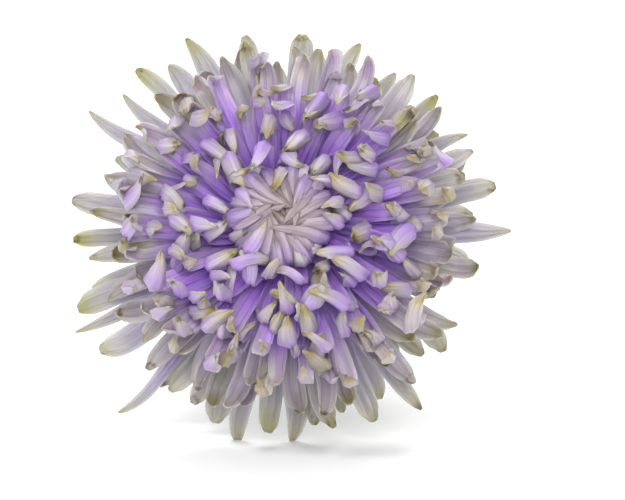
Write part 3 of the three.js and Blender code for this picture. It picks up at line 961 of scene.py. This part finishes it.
def green_material(name, base, pale, dark, roughness, grain, ribbed=False):
    """Soft green plant skin: a matte cuticle, mottled by the cells under it.

    The eye sees paler veins and a paler underside on a leaf or a bract, and streaks along a ribbed
    stalk. grain is the size of the marks.
    """
    made, tree, shader = new_material(name, roughness)
    tint = add(tree, "ShaderNodeAttribute", attribute_name="tint").outputs["Vector"]
    along, vein, _ = add(tree, "ShaderNodeSeparateXYZ", (tint,)).outputs
    place = add(tree, "ShaderNodeAttribute", attribute_name="place").outputs["Vector"]
    across, skin, _ = add(tree, "ShaderNodeSeparateXYZ", (place,)).outputs
    if ribbed:
        run = add(tree, "ShaderNodeMath", (along, STALK_RUN), operation="MULTIPLY").outputs[0]
        coords = add(tree, "ShaderNodeCombineXYZ", (across, skin, run)).outputs[0]
        scale = STEM_RADIUS / grain
    else:
        coords = add(tree, "ShaderNodeTexCoord").outputs["Object"]
        scale = 1 / (grain * MM)
    mottle = add(tree, "ShaderNodeTexNoise", {
        "Vector": coords, "Scale": scale, "Detail": 5}).outputs[0]
    colour = ramp(tree, mottle, [(0.3, dark), (0.6, base), (0.95, pale)])
    if not ribbed:
        width = add(tree, "ShaderNodeMath", (across,), operation="ABSOLUTE").outputs[0]
        rib = add(tree, "ShaderNodeMapRange", (width, *RIB_PLACES, 1, 0)).outputs[0]
        veins = add(tree, "ShaderNodeMath", (vein, rib), operation="MAXIMUM").outputs[0]
        veins = add(tree, "ShaderNodeMath", (veins, VEIN_SHARE), operation="MULTIPLY").outputs[0]
        under = add(tree, "ShaderNodeMapRange", (
            skin, -UNDERSIDE_TURN, UNDERSIDE_TURN, UNDERSIDE_SHARE, 0)).outputs[0]
        for share in (veins, under):
            colour = add(tree, "ShaderNodeMix", {
                0: share, 6: colour, 7: linear(pale)}, data_type="RGBA").outputs[2]
    tree.links.new(colour, shader.inputs["Base Color"])
    bump = add(tree, "ShaderNodeBump", {
        "Height": mottle, "Strength": 0.5, "Distance": MOTTLE_RELIEF * MM})
    tree.links.new(bump.outputs[0], shader.inputs["Normal"])
    return made


# Painted light: the lowest stops cover the deep parts of the florets, which lie in shade between their
# neighbours. They are a brighter and more saturated violet than the florets' own violet base.
SWIRL_PETAL = petal_material(
    "young_petal_satin",
    face_stops=[(0.3, "#9872c5"), (0.6, "#9b7ebf"), (0.85, "#9a86a7"), (1, "#9b8d90")],
    back_stops=[
        (0.2, "#8764b2"), (0.46, "#886cae"), (0.62, "#9781a7"), (0.76, "#9d8a95"),
        (0.93, "#99898b"), (1, "#73625d"),
    ],
    tip_colour="#523c3c", crease=0.4, greening=1, bruising=0.1)
HOOKED_PETAL = petal_material(
    "violet_petal_satin",
    face_stops=[
        (0, "#b889fc"), (0.25, "#b483f4"), (0.45, "#a97ce0"), (0.64, "#a889c6"),
        (0.8, "#a092a8"), (0.93, "#aca29c"), (1, "#a79c82"),
    ],
    back_stops=[
        (0, "#b487f2"), (0.35, "#a577e4"), (0.6, "#9c73d0"), (0.74, "#a388c1"),
        (0.85, "#aa9dab"), (0.94, "#ada292"), (1, "#9c8e66"),
    ],
    tip_colour="#85793a", crease=0.74, greening=0.9, bruising=0.5)
SPREAD_PETAL = petal_material(
    "lavender_petal_satin",
    face_stops=[
        (0, "#a281d1"), (0.2, "#9379b9"), (0.45, "#88779e"), (0.7, "#8b828e"),
        (0.88, "#908c83"), (1, "#837f5a"),
    ],
    back_stops=[
        (0, "#9c7fc7"), (0.3, "#8a77a6"), (0.6, "#8b8290"), (0.85, "#908c81"), (1, "#837f58"),
    ],
    tip_colour="#76722f", crease=0.76, greening=0.9, bruising=0.62)
RIM_PETAL = petal_material(
    "pale_petal_satin",
    face_stops=[
        (0, "#9276c0"), (0.3, "#897aa7"), (0.55, "#847f90"), (0.76, "#828181"),
        (0.9, "#84846e"), (1, "#807f4b"),
    ],
    back_stops=[
        (0, "#8375a7"), (0.4, "#817c8b"), (0.7, "#808079"), (0.9, "#808067"), (1, "#7c7c44"),
    ],
    tip_colour="#74722a", crease=0.78, greening=0.95, bruising=0.7)
LEAF_GREEN = green_material("leaf_cuticle", "#46662f", "#86a066", "#33502a", 0.55, grain=3)
STEM_GREEN = green_material(
    "stem_cuticle", "#7f9452", "#a8b67a", "#5f773c", 0.5, grain=0.6, ribbed=True)
BRACT_GREEN = green_material("bract_cuticle", "#6d8748", "#a8ad78", "#52703a", 0.6, grain=2)

# Sections. Lifts give the shape of a blade across its width, from -1 at one edge to 1 at the other:
# three raise it off the flat, and the last moves it along its run.

FLORET_LIFTS = {
    "cup": lambda a: abs(a) ** 1.6,
    "groove": lambda a: -math.exp(-(((abs(a) - GROOVE_PLACE) / GROOVE_WIDTH) ** 2)),
    "edge": lambda a: a ** 3,
    "along": lambda a: -(0.5 - 0.5 * math.cos(3 * math.pi * a)),
}
LEAF_LIFTS = {
    "cup": lambda a: abs(a) - 0.08 * math.exp(-((a / 0.06) ** 2)),
    "groove": lambda a: -(1 - a * a) * (1 - math.exp(-((a / 0.1) ** 2))),
    "edge": lambda a: a * a,
    "along": abs,
}
BRACT_LIFTS = {
    "cup": lambda a: a * a,
    "groove": lambda a: -math.exp(-((a / 0.2) ** 2)),
    "edge": lambda a: 0,
    "along": lambda a: 0,
}
FLORET_SECTION = blade_section("floret_section", 17, FLORET_LIFTS)
LEAF_SECTION = blade_section("leaf_section", 31, LEAF_LIFTS)
BRACT_SECTION = blade_section("bract_section", 9, BRACT_LIFTS)
STEM_SECTION = round_section("stem_section", 60, ribs=6, depth=0.07)
BOWL_SECTION = round_section("bowl_section", 48, ribs=0, depth=0)

# The flower's pieces


def keep(piece, node):
    """Lets a piece ride on the flower in the place of one of its plain nodes."""
    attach(piece, "root")
    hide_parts(node)


WHORLS = (
    ("swirl_florets", SWIRL, swirl_floret, SWIRL_PETAL),
    ("hooked_florets", HOOKED, hooked_floret, HOOKED_PETAL),
    ("deep_florets", DEEP, deep_floret, HOOKED_PETAL),
    ("spread_florets", SPREAD, spread_floret, SPREAD_PETAL),
    ("rim_florets", len(RIM), rim_floret, RIM_PETAL),
)
first = 0  # florets are numbered on from whorl to whorl, so each has its own creases and tones
for name, count, rule, material in WHORLS:
    spines = [floret_stations(rule(i), first + i) for i in range(count)]
    keep(sweep(name, spines, FLORET_SECTION, material), "ray_florets")
    first += count

CORE_STEPS = 16
core_profile = [
    (CORE_RADIUS * math.sin(a), CORE_LEVEL - CORE_HALF_HEIGHT * math.cos(a))
    for a in (math.pi * i / CORE_STEPS for i in range(CORE_STEPS + 1))
]
core = sweep("receptacle", [bowl_spine(core_profile, 1)], BOWL_SECTION, HOOKED_PETAL)
keep(core, "ray_florets")
bowl = sweep("bract_bowl", [bowl_spine(CUP_PROFILE, 5)], BOWL_SECTION, BRACT_GREEN)
keep(bowl, "involucre")
bracts = [bract_spine(row, i) for row in range(len(BRACT_ROWS)) for i in range(BRACT_ROWS[row][0])]
keep(sweep("bracts", bracts, BRACT_SECTION, BRACT_GREEN), "involucre")
keep(sweep("flower_stem", [stem_spine()], STEM_SECTION, STEM_GREEN), "stem")
for leaf in LEAVES:
    name = leaf["name"].replace("leaf_", "") + "_leaf"
    keep(sweep(name, [leaf_spine(leaf)], LEAF_SECTION, LEAF_GREEN), leaf["name"])

for section in (FLORET_SECTION, LEAF_SECTION, BRACT_SECTION, STEM_SECTION, BOWL_SECTION):
    bpy.data.objects.remove(section)

# Table, light and camera. The table's and the lights' sizes and places are in metres.

TABLE_HALF = 4


def table():
    """A plain white table top under the flower."""
    mesh = bpy.data.meshes.new("table")
    corners = [(x * TABLE_HALF, y * TABLE_HALF, 0) for x, y in ((-1, -1), (1, -1), (1, 1), (-1, 1))]
    mesh.from_pydata(corners, [], [(0, 1, 2, 3)])
    made = bpy.data.objects.new("table", mesh)
    bpy.context.scene.collection.objects.link(made)
    material, _, shader = new_material("white_laminate", 0.9)
    shader.inputs["Base Color"].default_value = linear("#ffffff")
    mesh.materials.append(material)


def soft_light(name, size, power, place, target):
    """A round softbox that faces its target."""
    light = bpy.data.lights.new(name, "AREA")
    light.shape = "DISK"
    light.size = size
    light.energy = power
    made = bpy.data.objects.new(name, light)
    made.location = place
    made.rotation_euler = (Vector(target) - Vector(place)).to_track_quat("-Z", "Y").to_euler()
    bpy.context.scene.collection.objects.link(made)


def studio():
    """A pale room with two softboxes on the bloom and one that whitens the table behind it."""
    world = bpy.data.worlds.new("studio")
    bpy.context.scene.world = world
    world.use_nodes = True
    world.node_tree.nodes.clear()
    sky = add(world.node_tree, "ShaderNodeBackground", {"Color": (1, 1, 1, 1), "Strength": 0.5})
    add(world.node_tree, "ShaderNodeOutputWorld", (sky.outputs[0],))
    soft_light("key_softbox", 0.5, 13, (-0.7, -1.1, 1.3), HEAD * MM)
    soft_light("front_softbox", 0.7, 12, (0.1, -1.25, 0.5), HEAD * MM)
    soft_light("table_softbox", 3, 60, (0, 1.8, 2), (0, 1.8, 0))
    bpy.context.scene.view_settings.view_transform = "Standard"


CAMERA_AZIMUTH = 3.5
CAMERA_ELEVATION = 8
CAMERA_DISTANCE = 1000
FRAME_PIXELS = 625
MM_PER_PIXEL = 0.31
HEAD_FROM_MIDDLE = (-20.5, 12)  # in pixels, to the right and upwards


def camera():
    """Looks at the bloom's face, with its axis left of the frame's middle and a little above it."""
    azimuth = math.radians(CAMERA_AZIMUTH)
    elevation = math.radians(CAMERA_ELEVATION)
    back = Vector((
        math.sin(azimuth) * math.cos(elevation),
        -math.cos(azimuth) * math.cos(elevation),
        math.sin(elevation),
    ))
    turned = (-back).to_track_quat("-Z", "Y")
    right = turned @ Vector((1, 0, 0))
    upward = turned @ Vector((0, 1, 0))
    aside, above = (pixels * MM_PER_PIXEL for pixels in HEAD_FROM_MIDDLE)
    target = HEAD - right * aside - upward * above
    data = bpy.data.cameras.new("camera")
    data.lens = data.sensor_width * CAMERA_DISTANCE / (FRAME_PIXELS * MM_PER_PIXEL)
    made = bpy.data.objects.new("camera", data)
    made.location = (target + back * CAMERA_DISTANCE) * MM
    made.rotation_euler = turned.to_euler()
    bpy.context.scene.collection.objects.link(made)
    bpy.context.scene.camera = made


table()
studio()
camera()

bpy.context.view_layer.update()
